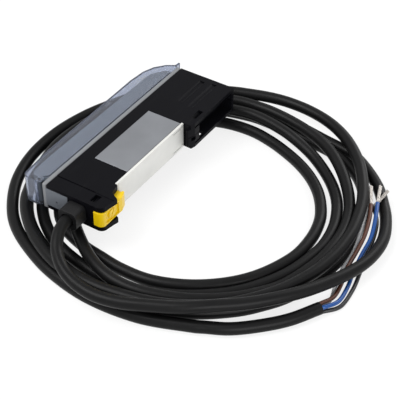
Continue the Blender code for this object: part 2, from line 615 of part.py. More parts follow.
def build_cover():
    """A clear U-shaped lid over the display and keys, hinged at the cable end."""
    back = HINGE_X - 1.8 * MM
    bottom = RIM_TOP + COVER_GAP
    wall = COVER_WALL + 0.05 * MM
    heel_centre = (HINGE_X + 0.5 * MM, COVER_TOP - 3.2 * MM)
    heel_radius = 2.1 * MM
    tab = [(FIBRE_END + 0.2 * MM, bottom - 0.05 * MM), (FIBRE_END + TAB_LENGTH, bottom + 0.1 * MM),
           (FIBRE_END + TAB_LENGTH - 0.1 * MM, bottom + 0.7 * MM)]
    shoulder = [(FIBRE_END + 0.5 * MM, bottom + 0.8 * MM), (FIBRE_END - 1.2 * MM, COVER_TOP - 4.7 * MM),
                (FIBRE_END - 4.4 * MM, COVER_TOP - 2.1 * MM), (FIBRE_END - COVER_SLOPE, COVER_TOP - 0.6 * MM)]
    crown = [(FIBRE_END - COVER_CROWN, COVER_TOP), (CABLE_END + COVER_REAR_CROWN, COVER_TOP - 0.3 * MM)]
    heel = arc(heel_centre, heel_radius, 110, 170, 5)
    boss = arc((HINGE_X, HINGE_Y), HINGE_BOSS, 190, 340, 8)
    outer = [*boss, (HINGE_X + 2.6 * MM, bottom), *tab, *shoulder, *crown, *heel, (back, HINGE_Y + 0.3 * MM)]
    cover = flat_solid("clear_cover", outer, -HALF, HALF, CLEAR_PLASTIC)
    inner = [(back + wall, bottom - 0.2 * MM), (FIBRE_END + 0.1 * MM, bottom - 1.0 * MM)]
    inner += [(FIBRE_END + 0.5 * MM - wall, bottom + 0.75 * MM), (FIBRE_END - 1.2 * MM - wall, COVER_TOP - 4.9 * MM)]
    inner += [(shoulder[2][0] - 0.3 * MM, shoulder[2][1] - wall)]
    inner += [(x, y - wall) for x, y in shoulder[3:] + crown]
    inner += arc(heel_centre, heel_radius - wall, 110, 170, 5)
    hollow = flat_solid("cover_hollow", inner, -HALF + COVER_WALL, HALF - COVER_WALL, cutter=True)
    cut(cover, hollow)
    pin_length = 1.3 * MM
    for side, name in ((1, "front"), (-1, "back")):
        middle = side * (HALF - COVER_WALL / 2 - pin_length / 2)
        join(cover, cylinder(f"{name}_hinge_pin", (HINGE_X, HINGE_Y, middle), HINGE_PIN, pin_length, "Z",
                             cutter=True, sides=20))
    move_origin(cover, (HINGE_X, HINGE_Y, 0.0))


def build_keys(bezel):
    stem = 0.9 * MM
    for name, place in KEY_PLACES.items():
        x = FIBRE_END - place
        hole = cylinder(f"{name}_hole_cutter", (x, BODY_TOP, 0.0), KEY_RADIUS + FIT, 4 * MM, "Y", cutter=True)
        cut(bezel, hole)
        flange_top = BODY_CEILING - SEATED
        flange_low = flange_top - 0.6 * MM
        flange = KEY_RADIUS + 0.5 * MM
        cap_profile = [(KEY_RADIUS, KEY_HEAD - 0.3 * MM), (KEY_RADIUS, flange_top), (flange, flange_top),
                       (flange, flange_low), (stem, flange_low), (stem, KEY_FLANGE),
                       (0.0, KEY_FLANGE), (0.0, KEY_HEAD), (KEY_RADIUS - 0.4 * MM, KEY_HEAD)]
        key = lathe_solid(f"{name}_key", cap_profile, (x, 0.0, 0.0), KEY_GREY)
        move_origin(key, (x, KEY_HEAD, 0.0))
        half = 1.6 * MM
        box(f"{name}_switch", (x - half, BOARD_TOP + SEATED + BOARD_THICK + FIT, -half),
            (x + half, KEY_FLANGE - KEY_TRAVEL - FIT, half), METAL_CAN)


def lathe_solid(name, profile, centre, material, steps=24):
    """A solid turned round an axis along Y; the profile starts and ends on the axis."""
    mesh = bpy.data.meshes.new(name)
    work = bmesh.new()
    outline = [work.verts.new((radius, height, 0.0)) for radius, height in profile]
    edges = [work.edges.new((a, b)) for a, b in zip(outline, outline[1:] + outline[:1])]
    bmesh.ops.spin(work, geom=outline + edges, cent=(0, 0, 0), axis=(0, 1, 0), dvec=(0, 0, 0),
                   angle=2 * math.pi, steps=steps, use_merge=False)
    bmesh.ops.remove_doubles(work, verts=work.verts, dist=0.000005)
    bmesh.ops.dissolve_degenerate(work, edges=work.edges, dist=0.000001)
    loose = [edge for edge in work.edges if len(edge.link_faces) == 0]
    bmesh.ops.delete(work, geom=loose, context="EDGES")
    axis_edges = [edge for edge in work.edges if len(edge.link_faces) != 2]
    bmesh.ops.delete(work, geom=axis_edges, context="EDGES_FACES")
    bmesh.ops.recalc_face_normals(work, faces=work.faces)
    bmesh.ops.translate(work, vec=centre, verts=work.verts)
    work.to_mesh(mesh)
    work.free()
    mesh.shade_smooth()
    mesh.set_sharp_from_angle(angle=math.radians(40))
    return add_object(name, mesh, material)


def build_boards():
    board_half = BODY_HALF - BODY_WALL - FIT
    level = BOARD_TOP + SEATED
    face = -1.6 * MM + BOARD_THICK + FIT
    box("main_board", (BAY_START + 1.6 * MM, BAY_FLOOR + SEATED, -1.6 * MM),
        (BLOCK_START - BLOCK_COVER, BOARD_TOP, -1.6 * MM + BOARD_THICK), BOARD_GREEN)
    box("display_board", (CABLE_END + BOARD_INSET, level, -board_half),
        (FIBRE_END - 14.0 * MM, level + BOARD_THICK, board_half), BOARD_GREEN)
    chip_start = CABLE_END + 21.0 * MM
    chip = box("processor_chip", (chip_start, 6.0 * MM, face), (chip_start + 8.0 * MM, 14.0 * MM, face + 1.0 * MM),
               CHIP_BLACK)
    round_edges(chip, 0.1 * MM, segments=1)
    box("output_transistor", (CABLE_END + 10.0 * MM, 11.0 * MM, face),
        (CABLE_END + 13.5 * MM, 14.0 * MM, face + 1.1 * MM), CHIP_BLACK)
    cylinder("supply_capacitor", (CABLE_END + 15.0 * MM, 7.0 * MM, face + 1.5 * MM), 1.9 * MM, 3.0 * MM, "Z", METAL_CAN)
    terminal_x = CABLE_END + 5.0 * MM
    terminal = box("core_terminal", (terminal_x - 1.6 * MM, 3.4 * MM, face),
                   (terminal_x + 1.8 * MM, 9.0 * MM, face + 1.6 * MM), KEY_GREY)
    for index in range(len(CORE_POINTS)):
        y = (4.1 + 1.35 * index) * MM
        cut(terminal, cylinder(f"terminal_{index}_cutter", (terminal_x, y, face + 0.9 * MM), 0.45 * MM, 8 * MM, "X",
                               cutter=True, sides=10))


def build_display(bezel):
    low_x = CABLE_END + DISPLAY_START
    high_x = FIBRE_END - DISPLAY_STOP
    half = DISPLAY_HALF
    ceiling_hole(bezel, "display", low_x, high_x, half)
    window = box("display_window", (low_x + FIT, BODY_CEILING - 0.2 * MM, -half + FIT),
                 (high_x - FIT, BODY_TOP - 0.1 * MM, half - FIT), DARK_WINDOW)
    round_edges(window, 0.15 * MM, segments=1)
    base = BOARD_TOP + SEATED + BOARD_THICK + FIT
    module = box("display_module", (low_x + FIT, base, -half + FIT),
                 (high_x - FIT, BODY_CEILING - 0.5 * MM, half - FIT), CHIP_BLACK)
    pitch = (high_x - low_x - 2 * FIT) / (DIGITS + 0.4)
    for index in range(DIGITS):
        x = low_x + FIT + (index + 0.7) * pitch
        digit = box(f"digit_{index}_cutter", (x - 0.33 * pitch, BODY_CEILING - 0.8 * MM, -half / 2),
                    (x + 0.33 * pitch, BODY_CEILING, half / 2), cutter=True)
        cut(module, digit)


def build_indicator(bezel):
    x = CABLE_END + LAMP_PLACE
    radius = 0.9 * MM
    cut(bezel, cylinder("lamp_hole_cutter", (x, BODY_TOP, 0.0), radius + FIT / 2, 4 * MM, "Y", cutter=True))
    base = BOARD_TOP + SEATED + BOARD_THICK
    pipe = [(radius, BODY_TOP), (radius, base + 1.2 * MM), (0.0, base + 1.2 * MM), (0.0, BODY_TOP + 0.35 * MM),
            (0.6 * radius, BODY_TOP + 0.25 * MM)]
    lathe_solid("light_pipe", pipe, (x, 0.0, 0.0), LAMP_CLEAR, steps=20)
    box("output_led", (x - 0.8 * MM, base + FIT, -0.5 * MM), (x + 0.8 * MM, base + 0.9 * MM, 0.5 * MM), KEY_GREY)


def build_mode_switch(bezel):
    start = CABLE_END + MODE_PLACE
    knob = 1.8 * MM
    half = 0.8 * MM
    ceiling_hole(bezel, "mode", start - FIT, start + knob + MODE_TRAVEL + FIT, half + FIT)
    base = BOARD_TOP + SEATED + BOARD_THICK + FIT
    body = box("mode_switch_body", (start - 0.8 * MM, base, -1.7 * MM), (start + 4.8 * MM, base + 2.6 * MM, 1.7 * MM),
               METAL_CAN)
    slot = box("mode_slot_cutter", (start - FIT, base + 1.6 * MM, -half - FIT),
               (start + knob + MODE_TRAVEL + FIT, base + 3.0 * MM, half + FIT), cutter=True)
    cut(body, slot)
    slider = box("mode_slider", (start, base + 1.6 * MM + FIT, -half), (start + knob, KEY_HEAD, half), KEY_GREY)
    round_edges(slider, 0.12 * MM, segments=1)
    for index in range(2):
        x = start + knob * (index + 1) / 3
        cut(slider, box(f"slider_rib_{index}_cutter", (x - 0.12 * MM, KEY_HEAD - 0.25 * MM, -2 * half),
                        (x + 0.12 * MM, KEY_HEAD + 0.5 * MM, 2 * half), cutter=True))
    move_origin(slider, (start + knob / 2, KEY_HEAD, 0.0))


def build_fibre_lock(bezel):
    """A thumb slide on the top and the plate that it carries down to the fibre block."""
    end = FIBRE_END - 8.2 * MM
    thumb = 2.4 * MM
    neck = 1.0 * MM
    ceiling_hole(bezel, "lock", end - thumb - LOCK_TRAVEL - FIT, end + FIT, neck + FIT)
    foot_top = BODY_CEILING - SEATED
    foot = foot_top - 0.9 * MM
    head_low = BODY_TOP + 0.15 * MM
    slide = box("fibre_lock", (end - thumb, foot, -neck), (end, head_low + 0.5 * MM, neck), YELLOW_PLASTIC)
    base = box("lock_base", (end - thumb - 0.6 * MM, foot, -2.2 * MM), (end + 0.2 * MM, foot_top, 2.2 * MM),
               cutter=True)
    head = flat_solid("lock_head", [(end - thumb - 0.4 * MM, head_low), (end + 0.3 * MM, head_low),
                                    (end + 0.1 * MM, KEY_HEAD + 0.3 * MM), (end - 0.8 * MM, KEY_HEAD + 0.3 * MM),
                                    (end - thumb - 0.2 * MM, head_low + 0.4 * MM)], -1.9 * MM, 1.9 * MM, cutter=True)
    join(slide, base, head)
    move_origin(slide, (end, BODY_TOP, 0.0))
    near = end - thumb
    jaw = BLOCK_TOP + SEATED
    plate = flat_solid("clamp_plate", [(near + 0.2 * MM, foot - FIT), (near + 0.2 * MM, BLOCK_TOP + 1.4 * MM),
                                       (near + 1.0 * MM, jaw), (end - 0.2 * MM, jaw), (end - 0.2 * MM, foot - FIT)],
                       -0.6 * MM, 0.6 * MM, SPRING_STEEL)
    move_origin(plate, (end, BLOCK_TOP, 0.0))


def build_optics():
    half = INNER_HALF - SEATED
    block = box("fibre_block", (BLOCK_START, BAY_FLOOR + SEATED, -half), (BAY_END - SEATED, BLOCK_TOP, half),
                BLACK_PLASTIC)
    lamp_radius = 1.45 * MM
    seat_depth = 2.8 * MM
    for name, y in (("emitter_led", UPPER_FIBRE_Y), ("receiver_diode", LOWER_FIBRE_Y)):
        bore = cylinder(f"{name}_bore", (FIBRE_END - 10 * MM, y, 0.0), FIBRE_BORE, 2 * LENGTH, "X", cutter=True)
        seat = cylinder(f"{name}_seat", (BLOCK_START, y, 0.0), lamp_radius + FIT, 2 * seat_depth, "X", cutter=True)
        cut(block, bore, seat)
        lamp_start = BLOCK_START - 1.8 * MM
        lamp_end = BLOCK_START + seat_depth - FIT
        lamp = cylinder(name, ((lamp_start + lamp_end) / 2, y, 0.0), lamp_radius, lamp_end - lamp_start, "X",
                        LAMP_CLEAR if name == "emitter_led" else CHIP_BLACK, sides=20)
        round_edges(lamp, 0.25 * MM, segments=2, angle=60)
    for name, y in (("upper_port_bush", UPPER_FIBRE_Y), ("lower_port_bush", LOWER_FIBRE_Y)):
        near = BAY_END - SEATED + FIT - FIBRE_END
        profile = [(BUSH_OUTER, 0.3 * MM), (BUSH_OUTER, near), (FIBRE_BORE, near), (FIBRE_BORE, 0.1 * MM),
                   (FIBRE_BORE + 0.25 * MM, 0.35 * MM)]
        turned(name, profile, (FIBRE_END, y, 0.0), "X", GREY_PLASTIC)


def build_boot():
    """A moulded strain relief that stands out of the cable end and is held by the end wall."""
    middle_y = BOOT_BOTTOM + BOOT_HEIGHT / 2
    outer = CABLE_END - BOOT_LENGTH
    corner = 1.6 * MM
    side = BOOT_HALF - corner
    rise = BOOT_HEIGHT / 2 - corner
    outline = []
    for index, (sy, sz) in enumerate(((1, 1), (-1, 1), (-1, -1), (1, -1))):
        outline += arc((middle_y + sy * rise, sz * side), corner, 90 * index, 90 * index + 90, 4)
    boot = flat_solid("cable_boot", outline, outer, CABLE_END - FIT, BLACK_PLASTIC, axis="X")
    round_edges(boot, 0.5 * MM, segments=2, angle=60)
    neck = box("boot_neck", (CABLE_END - 1.0 * MM, BOOT_BOTTOM + 1.0 * MM, -2.4 * MM),
               (BAY_START + 1.0 * MM, BOOT_BOTTOM + BOOT_HEIGHT - 0.9 * MM, 2.4 * MM), cutter=True)
    flange = box("boot_flange", (BAY_START + FIT, BOOT_BOTTOM + 0.3 * MM, -INNER_HALF + FIT),
                 (BAY_START + FIT + 1.0 * MM, BOOT_BOTTOM + BOOT_HEIGHT, INNER_HALF - FIT), cutter=True)
    mouth = cylinder("boot_mouth", (outer, middle_y, 0.0), CABLE / 2 + SEATED, 2 * MOUTH_DEPTH, "X", cutter=True)
    join(boot, neck, flange)
    cut(boot, mouth)
    return (outer + MOUTH_DEPTH - SEATED, middle_y, 0.0)


def build_cable(exit_point):
    """The free cable: the lead, the coil's outer shape, the tail, and the four cores with tinned ends."""
    route = smooth_route([exit_point] + in_metres(LEAD_POINTS), 1.8 * CABLE)
    route.insert(1, Vector(exit_point) - Vector((MOUTH_DEPTH + SEATED, 0.0, 0.0)))
    tube("cable_lead", route, CABLE, CABLE_JACKET)
    tube("cable_tail", smooth_route(in_metres(TAIL_POINTS), 2.2 * CABLE), CABLE, CABLE_JACKET)
    top = -HALF - SEATED
    corner = CABLE / 2
    profile = arc((COIL_OUTER - corner, top - corner), corner, 90, 0, 4)
    profile += arc((COIL_OUTER - corner, FLOOR + corner), corner, 0, -90, 4)
    profile += arc((COIL_INNER + corner, FLOOR + corner), corner, 270, 180, 4)
    profile += arc((COIL_INNER + corner, top - corner), corner, 180, 90, 4)
    turned("cable_coil", profile, (*COIL_CENTRE, 0.0), "Z", CABLE_JACKET, steps=64)
    for colour, points in CORE_POINTS.items():
        route = smooth_route(in_metres(points), 2.6 * CORE)
        tube(f"core_{colour}", route, CORE, CORE_COLOURS[colour])
        end = route[-1]
        tip = Vector(in_metres([TIP_ENDS[colour]])[0])
        start = end + (tip - end).normalized() * SEATED
        tube(f"tip_{colour}", [start, start.lerp(tip, 0.5), tip], CORE_TIP, TINNED_COPPER)


def build_all():
    label_low = (LABEL_START, SHELL_SEAT, HALF - LABEL_DEPTH)
    label_high = (LABEL_END, LABEL_TOP, HALF)
    build_shells(label_low, label_high)
    build_label(label_low, label_high)
    build_rail_seat()
    build_latch()
    build_spring()
    bezel = build_top_bezel()
    build_display(bezel)
    build_indicator(bezel)
    build_mode_switch(bezel)
    build_keys(bezel)
    build_fibre_lock(bezel)
    build_cover()
    build_boards()
    build_optics()
    build_cable(build_boot())


build_all()
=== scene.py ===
import math

import bpy
from mathutils import Matrix, Vector


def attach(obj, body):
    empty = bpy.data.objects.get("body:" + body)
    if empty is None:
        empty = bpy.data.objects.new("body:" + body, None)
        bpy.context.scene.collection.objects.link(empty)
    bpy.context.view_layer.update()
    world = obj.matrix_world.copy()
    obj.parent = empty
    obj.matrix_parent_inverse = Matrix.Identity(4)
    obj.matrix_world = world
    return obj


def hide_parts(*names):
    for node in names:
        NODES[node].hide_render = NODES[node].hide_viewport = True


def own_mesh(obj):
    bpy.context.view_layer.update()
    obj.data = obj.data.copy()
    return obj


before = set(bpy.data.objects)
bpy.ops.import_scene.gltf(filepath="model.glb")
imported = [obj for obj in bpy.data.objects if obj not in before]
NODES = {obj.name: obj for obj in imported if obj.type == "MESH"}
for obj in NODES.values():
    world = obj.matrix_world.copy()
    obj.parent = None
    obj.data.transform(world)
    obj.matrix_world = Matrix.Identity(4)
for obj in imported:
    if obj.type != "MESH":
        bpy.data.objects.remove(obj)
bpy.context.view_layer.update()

MM = 0.001


# Camera and picture

LENS = 108.0
SENSOR = 36.0
NEAREST = 0.01
CAMERA_PLACE = (-228.4, -166.2, 229.9)
CAMERA_RIGHT = (0.5459, -0.8379, 0.0)
CAMERA_FORWARD = (0.6336, 0.4128, -0.6543)


def set_camera():
    """Puts the camera where the photograph was taken from."""
    data = bpy.data.cameras.new("camera")
    data.lens = LENS
    data.sensor_width = SENSOR
    data.clip_start = NEAREST
    camera = bpy.data.objects.new("camera", data)
    bpy.context.scene.collection.objects.link(camera)
    right = Vector(CAMERA_RIGHT).normalized()
    forward = Vector(CAMERA_FORWARD).normalized()
    up = right.cross(forward).normalized()
    turn = Matrix((right, up, -forward)).transposed().to_4x4()
    camera.matrix_world = Matrix.Translation(Vector(CAMERA_PLACE) * MM) @ turn
    bpy.context.scene.camera = camera
    bpy.context.scene.view_settings.view_transform = "Standard"


# Routes of the cable and its cores

COIL_CENTRE = (6.0, -11.0)
BOOT_EXIT = (-33.1, 6.0, 0.0)
CABLE = 3.7 * MM
CORE = 1.25 * MM
CABLE_STEP = 1.3 * MM
CORE_STEP = 0.9 * MM
CABLE_RINGS = 7
CORE_RINGS = 4
FLOOR = -12.2 * MM

LEAD_ROUTE = [
    (-34.6, 6.0, 0.0), (-38.0, 5.5, -0.35), (-41.2, 4.1, -1.25), (-44.0, 2.1, -2.4),
    (-46.7, -1.2, -3.3), (-48.6, -4.9, -4.1), (-49.9, -10.0, -4.7), (-50.2, -16.2, -4.9),
    (-48.6, -23.2, -4.9), (-45.4, -30.7, -4.6), (-41.8, -38.2, -4.2), (-37.0, -45.0, -4.0),
    (-30.0, -53.2, -4.2), (-20.4, -60.6, -5.1), (-11.4, -65.2, -6.4), (-1.2, -69.0, -7.7),
    (7.8, -70.7, -8.6), (17.4, -70.1, -9.3), (26.5, -66.6, -9.9), (33.4, -62.2, -10.2),
    (39.5, -57.4, -10.3), (44.8, -51.2, -10.3),
]
TAIL_ROUTE = [
    (-41.4, -40.6, -10.3), (-39.5, -44.6, -10.3), (-36.2, -50.8, -10.3), (-30.8, -57.0, -10.3),
    (-24.3, -62.7, -10.3), (-16.0, -67.5, -10.3),
]

# Turns of the coil: angle in degrees and radius in millimetres about its centre, by how high
# they lie. Where the height changes, each point gives its own.
LOW = -10.35
TOP = -6.65
COIL_TURNS = [
    (LOW, [
        (322, 54.6), (328, 52.4), (334, 50.0), (343, 48.5), (353, 47.9), (362, 47.8), (370, 48.2),
        (395, 48.4), (420, 48.8), (450, 49.2), (465, 49.6), (477, 49.9), (487, 50.8), (497, 50.8),
        (510, 50.0), (520, 49.5), (540, 49.8), (556, 50.4), (572, 51.0), (585, 51.5), (594, 51.7),
        (604, 52.2), (625, 51.6), (633, 51.6), (643, 51.9), (652, 52.3), (659, 52.6), (667, 52.4),
        (674, 51.6), (682, 50.2), (688, 48.3), (694, 46.2), (703, 44.4), (717, 43.2), (728, 43.5),
        (745, 43.2), (770, 41.5), (800, 41.0), (830, 41.0), (856, 41.2), (866, 41.5), (880, 40.0),
        (890, 39.0), (902, 39.5), (916, 40.4), (932, 40.4), (948, 40.8), (961, 40.9), (979, 41.2),
        (991, 40.7), (1003, 40.3), (1011, 39.6), (1023, 38.5), (1034, 37.3), (1046, 36.2),
        (1059, 35.5), (1070, 35.8), (1081, 36.5), (1095, 36.9), (1110, 37.2), (1125, 37.3)
    ]),
    (None, [
        (1137, 37.4, -10.1), (1147, 37.9, -9.0), (1157, 39.3, -7.1), (1166, 41.1, -6.6),
        (1175, 42.8, -6.8), (1184, 43.9, -7.6), (1193, 44.8, -8.9), (1203, 45.8, -9.9)
    ]),
    (LOW, [
        (1210, 46.4), (1222, 46.3), (1232, 46.2), (1245, 45.2), (1258, 45.0), (1267, 45.3),
        (1278, 44.8), (1292, 44.5), (1307, 44.7), (1318, 44.6), (1331, 44.7), (1348, 45.0),
        (1357, 45.1), (1367, 44.7), (1379, 44.1), (1391, 42.8)
    ]),
    (None, [
        (1407, 41.6, -9.4), (1420, 39.3, -6.7)
    ]),
    (TOP, [
        (1433, 39.3), (1445, 40.2), (1458, 39.8), (1470, 38.5), (1482, 36.9)
    ]),
    (None, [
        (1492, 35.4, -7.0), (1502, 34.2, -8.2), (1512, 33.5, -9.5)
    ]),
    (LOW, [
        (1524, 33.2), (1536, 33.8), (1548, 35.0), (1558, 36.2), (1566, 37.0)
    ]),
    (None, [
        (1572, 37.4, -9.6), (1578, 37.9, -8.0), (1586, 38.8, -6.8), (1594, 39.8, -6.6),
        (1602, 41.4, -6.6), (1610, 43.6, -6.6), (1618, 45.8, -6.7), (1626, 47.3, -7.2),
        (1636, 47.6, -7.8), (1652, 47.8, -8.4), (1665, 48.1, -8.8), (1674, 48.2, -9.1),
        (1684, 48.4, -9.8), (1700, 48.3, -9.0), (1710, 48.4, -8.7), (1719, 48.5, -8.8),
        (1729, 48.3, -9.4), (1736, 47.8, -9.0), (1742, 47.3, -8.3), (1749, 46.7, -7.4)
    ]),
    (TOP, [
        (1757, 46.2), (1763, 46.1), (1770, 45.8), (1776, 45.3), (1783, 44.9), (1794, 44.7),
        (1803, 44.8), (1815, 45.0), (1840, 44.7), (1860, 44.8), (1872, 45.3), (1884, 46.3),
        (1900, 47.4), (1922, 48.8), (1927, 50.2), (1932, 51.1), (1940, 51.4), (1950, 51.8),
        (1962, 52.2), (1970, 52.0), (1982, 51.9), (2000, 51.8), (2012, 52.0), (2025, 52.3),
        (2040, 52.0), (2052, 51.8), (2061, 51.7), (2070, 51.5), (2080, 51.4), (2095, 51.6),
        (2110, 52.3), (2120, 53.1), (2129, 53.8), (2138, 54.0), (2147, 53.4), (2156, 52.5),
        (2163, 51.5), (2171, 50.2), (2178, 49.4), (2195, 49.0), (2215, 48.9)
    ]),
    (None, [
        (2232, 49.0, -6.8), (2244, 50.6, -7.3), (2255, 52.2, -7.9), (2267, 54.0, -8.7),
        (2278, 55.2, -9.5), (2290, 55.3, -10.3)
    ]),
    (LOW, [
        (2299, 55.2), (2309, 53.9), (2323, 53.3), (2340, 53.6), (2357, 54.6)
    ]),
]

CORE_ROUTES = {
    "brown": [
        (-15.6, -66.9, -9.6), (-14.8, -67.2, -9.5), (-10.4, -68.7, -10.1), (-4.5, -68.0, -10.4),
        (2.0, -66.6, -9.7), (8.5, -66.0, -9.0), (15.0, -65.2, -8.0), (21.5, -63.4, -7.0),
        (26.8, -61.2, -6.5)
    ],
    "white": [
        (-15.6, -66.9, -11.0), (-14.8, -67.2, -11.2), (-10.2, -67.9, -11.5), (-4.6, -66.4, -11.5),
        (1.6, -65.1, -11.3), (8.2, -64.6, -10.6), (14.4, -63.7, -9.3), (20.4, -62.0, -8.3),
        (25.5, -60.3, -7.4)
    ],
    "blue": [
        (-16.4, -68.1, -9.6), (-15.7, -68.7, -9.5), (-11.0, -70.6, -10.2), (-4.3, -69.9, -10.8),
        (2.6, -68.3, -10.9), (9.0, -67.5, -9.9), (15.8, -66.9, -8.7), (22.4, -64.9, -6.9),
        (28.4, -62.5, -6.4)
    ],
    "black": [
        (-16.4, -68.1, -11.0), (-15.7, -68.7, -11.2), (-11.3, -71.5, -11.5), (-4.2, -71.4, -11.5),
        (3.0, -70.0, -11.5), (9.6, -68.2, -11.4), (16.4, -67.3, -10.4), (22.8, -65.3, -8.6),
        (27.8, -61.6, -8.0)
    ],
}
TIP_ENDS = {
    "brown": (34.4, -57.3, -6.4),
    "white": (33.4, -56.8, -7.6),
    "blue": (36.2, -59.6, -6.6),
    "black": (35.9, -62.4, -7.0),
}


def smoothed(knots):
    """The knots of a winding with its small wobbles evened out; the first and last stay."""
    even = [Vector(knot) for knot in knots]
    middle = [(a + 4 * b + c) / 6 for a, b, c in zip(even, even[1:], even[2:])]
    return [even[0], *middle, even[-1]]


def coil_route():
    """The coil's own points, in millimetres."""
    knots = []
    for level, turns in COIL_TURNS:
        for angle, radius, *height in turns:
            knots.append((angle, radius, height[0] if level is None else level))
    route = []
    for angle, radius, height in smoothed(knots):
        turn = math.radians(angle)
        route.append((COIL_CENTRE[0] + radius * math.cos(turn),
                      COIL_CENTRE[1] + radius * math.sin(turn), height))
    return route


def flowing(points, step):
    """Points in metres on a smooth curve through points in millimetres, about one step apart."""
    knots = [Vector(p) * MM for p in points]
    knots = [knots[0] * 2 - knots[1]] + knots + [knots[-1] * 2 - knots[-2]]
    line = []
    for a, b, c, d in zip(knots, knots[1:], knots[2:], knots[3:]):
        pieces = max(2, round((c - b).length / step))
        for index in range(pieces):
            t = index / pieces
            line.append(0.5 * (2 * b + (c - a) * t + (2 * a - 5 * b + 4 * c - d) * t ** 2
                               + (3 * b - a - 3 * c + d) * t ** 3))
    return line + [knots[-2]]


def tube_along(name, line, diameter, rings, material):
    """A round flexible line as one open spline."""
    curve = bpy.data.curves.new(name, "CURVE")
    curve.dimensions = "3D"
    curve.bevel_depth = diameter / 2
    curve.bevel_resolution = rings
    curve.use_fill_caps = True
    spline = curve.splines.new("POLY")
    spline.points.add(len(line) - 1)
    for point, place in zip(spline.points, line):
        point.co = (*place, 1.0)
    spline.use_smooth = True
    curve.materials.append(material)
    obj = bpy.data.objects.new(name, curve)
    bpy.context.scene.collection.objects.link(obj)
    return obj


# Shared effects, as shader node groups

GRAIN_SCALE = 9000.0
CLOUD_SCALE = 120.0
SCUFF_SCALE = 60.0
SCUFF_TURN = (0.3, 0.2, 0.6)
SCUFF_STRETCH = (1.0, 9.0, 3.0)


def new_group(name, inputs, outputs):
    """An empty node group with inputs (name, type, value) and outputs (name, type)."""
    group = bpy.data.node_groups.new(name, "ShaderNodeTree")
    for label, kind, value in inputs:
        socket = group.interface.new_socket(label, in_out="INPUT", socket_type=kind)
        socket.default_value = value
    for label, kind in outputs:
        group.interface.new_socket(label, in_out="OUTPUT", socket_type=kind)
    entry = group.nodes.new("NodeGroupInput")
    leave = group.nodes.new("NodeGroupOutput")
    return group, entry, leave


def noise_node(tree, scale, detail, roughness=0.5):
    noise = tree.nodes.new("ShaderNodeTexNoise")
    noise.inputs["Scale"].default_value = scale
    noise.inputs["Detail"].default_value = detail
    noise.inputs["Roughness"].default_value = roughness
    return noise


def math_node(tree, operation, first, second):
    node = tree.nodes.new("ShaderNodeMath")
    node.operation = operation
    for socket, value in zip(node.inputs, (first, second)):
        if isinstance(value, (int, float)):
            socket.default_value = value
        else:
            tree.links.new(value, socket)
    return node.outputs[0]


def mix_colour(tree, factor, first, second):
    """Two colours, each a tuple or a socket, mixed by a mask."""
    node = tree.nodes.new("ShaderNodeMix")
    node.data_type = "RGBA"
    tree.links.new(factor, node.inputs[0])
    for socket, value in ((node.inputs[6], first), (node.inputs[7], second)):
        if isinstance(value, tuple):
            socket.default_value = (*value, 1.0)
        else:
            tree.links.new(value, socket)
    return node.outputs[2]


def map_range(tree, value, low, high, to_low, to_high):
    node = tree.nodes.new("ShaderNodeMapRange")
    tree.links.new(value, node.inputs["Value"])
    limits = {"From Min": low, "From Max": high, "To Min": to_low, "To Max": to_high}
    for label, number in limits.items():
        node.inputs[label].default_value = number
    return node.outputs[0]


def make_mould_grain():
    """The fine grain of a moulded surface, with broad clouds in its tone and roughness."""
    tree, entry, leave = new_group(
        "mould_grain",
        [("Colour", "NodeSocketColor", (0.1, 0.1, 0.1, 1.0)),
         ("Grain Scale", "NodeSocketFloat", GRAIN_SCALE),
         ("Cloudiness", "NodeSocketFloat", 0.15),
         ("Roughness", "NodeSocketFloat", 0.4),
         ("Roughness Spread", "NodeSocketFloat", 0.1)],
        [("Colour", "NodeSocketColor"),
         ("Roughness", "NodeSocketFloat"),
         ("Height", "NodeSocketFloat")])
    place = tree.nodes.new("ShaderNodeTexCoord")
    fine = noise_node(tree, GRAIN_SCALE, 2.0)
    cloud = noise_node(tree, CLOUD_SCALE, 3.0)
    for node in (fine, cloud):
        tree.links.new(place.outputs["Object"], node.inputs["Vector"])
    tree.links.new(entry.outputs["Grain Scale"], fine.inputs["Scale"])
    lift = math_node(tree, "SUBTRACT", cloud.outputs["Fac"], 0.5)
    amount = math_node(tree, "MULTIPLY", lift, entry.outputs["Cloudiness"])
    bright = math_node(tree, "ADD", amount, 1.0)
    shade = tree.nodes.new("ShaderNodeVectorMath")
    shade.operation = "SCALE"
    tree.links.new(entry.outputs["Colour"], shade.inputs[0])
    tree.links.new(bright, shade.inputs["Scale"])
    tree.links.new(shade.outputs[0], leave.inputs["Colour"])
    spread = math_node(tree, "MULTIPLY", lift, entry.outputs["Roughness Spread"])
    rough = math_node(tree, "ADD", spread, entry.outputs["Roughness"])
    tree.links.new(rough, leave.inputs["Roughness"])
    tree.links.new(fine.outputs["Fac"], leave.inputs["Height"])
    return tree


def make_scuffs():
    """Fine rubbed lines, drawn out along one slanted direction, as a mask."""
    tree, entry, leave = new_group(
        "rubbed_lines",
        [("Scale", "NodeSocketFloat", SCUFF_SCALE), ("Amount", "NodeSocketFloat", 0.2)],
        [("Mask", "NodeSocketFloat")])
    place = tree.nodes.new("ShaderNodeTexCoord")
    stretch = tree.nodes.new("ShaderNodeMapping")
    stretch.inputs["Rotation"].default_value = SCUFF_TURN
    stretch.inputs["Scale"].default_value = SCUFF_STRETCH
    tree.links.new(place.outputs["Object"], stretch.inputs["Vector"])
    lines = noise_node(tree, SCUFF_SCALE, 6.0, 0.7)
    tree.links.new(stretch.outputs[0], lines.inputs["Vector"])
    tree.links.new(entry.outputs["Scale"], lines.inputs["Scale"])
    mask = map_range(tree, lines.outputs["Fac"], 0.58, 0.72, 0.0, 1.0)
    out = math_node(tree, "MULTIPLY", mask, entry.outputs["Amount"])
    tree.links.new(out, leave.inputs["Mask"])
    return tree


MOULD_GRAIN = make_mould_grain()
RUBBED_LINES = make_scuffs()


# Materials

